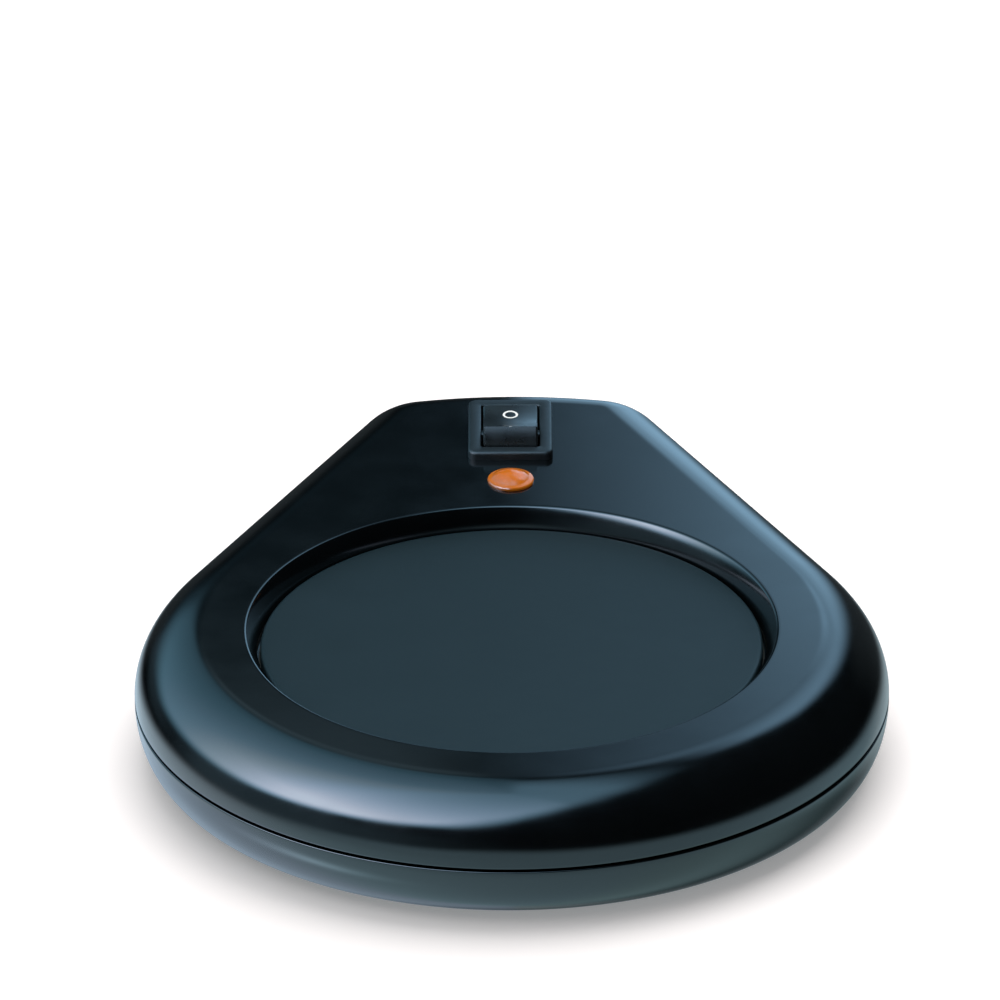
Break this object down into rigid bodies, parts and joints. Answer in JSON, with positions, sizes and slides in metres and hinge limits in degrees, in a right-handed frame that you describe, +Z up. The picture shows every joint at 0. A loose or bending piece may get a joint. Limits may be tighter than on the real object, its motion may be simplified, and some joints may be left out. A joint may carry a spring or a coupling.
{
  "type": "electric mug warmer",
  "caption": "Desktop electric mug warmer: round recessed hot plate in a glossy teardrop housing, with an on/off rocker, pilot lamp and cord inlet on the tail.",
  "frame": {"origin": "where the warming plate's axis meets the table that the four feet stand on", "axes": "+Z up along the plate's axis, +Y from the plate towards the tail and the cord inlet, +X to the right as seen by someone facing the plate's round front from -Y"},
  "size_m": [0.134, 0.1679, 0.0293],
  "materials": {
    "housing": "glossy moulded black-blue thermoset",
    "plate": "satin dark non-stick coating on aluminium",
    "foot_rubber": "matte moulded rubber",
    "switch_plastic": "fine-textured black nylon",
    "rocker_plastic": "semi-gloss black nylon",
    "lens_amber": "clear amber polycarbonate",
    "lamp_glass": "clear glass with electrodes",
    "steel": "zinc-plated steel",
    "brass": "tinned brass",
    "mica": "pressed mica sheet",
    "felt": "glass-fibre felt",
    "insulation_black": "silicone lead insulation",
    "insulation_white": "silicone lead insulation",
    "nylon_natural": "natural nylon"
  },
  "bodies": {
    "base": {"upper_housing": "housing", "lower_housing": "housing", "warming_plate": "plate", "plate_gasket": "felt", "plate_studs": "steel", "mica_top": "mica", "heating_ribbon": "steel", "mica_bottom": "mica", "insulation_pad": "felt", "clamp_plate": "steel", "stud_washers": "steel", "stud_nuts": "steel", "heater_terminals": "brass", "thermal_fuse": "steel", "fuse_sleeve": "felt", "fuse_clip": "steel", "fuse_crimps": "brass", "switch_body": "switch_plastic", "terminal_common": "brass", "terminal_line": "brass", "terminal_receptacles": "brass", "indicator_lens": "lens_amber", "neon_lamp": "lamp_glass", "lamp_resistor": "nylon_natural", "lamp_lead_switched": "insulation_black", "lamp_lead_neutral": "insulation_white", "lead_line": "insulation_black", "lead_switched": "insulation_black", "lead_heater": "insulation_white", "lead_neutral": "insulation_white", "wire_caps": "nylon_natural", "cord_grommet": "foot_rubber", "housing_screws": "steel", "foot_front_left": "foot_rubber", "foot_front_right": "foot_rubber", "foot_rear_left": "foot_rubber", "foot_rear_right": "foot_rubber"},
    "rocker": {"rocker": "rocker_plastic", "rocker_plunger": "brass", "plunger_spring": "steel"},
    "contact": {"contact_blade": "brass"}
  },
  "joints": [
    {"name": "rocker_tilt", "type": "hinge", "parent": "base", "child": "rocker", "pos_m": [0, 0.076, 0.0243], "axis": [1, 0, 0], "range_deg": [0, 22]},
    {"name": "contact_tilt", "type": "hinge", "parent": "base", "child": "contact", "pos_m": [0, 0.076, 0.0146], "axis": [-1, 0, 0], "range_deg": [0, 13]}
  ],
  "couplings": [
    {"joint": "contact_tilt", "follows": "rocker_tilt", "ratio": 0.5909}
  ]
}
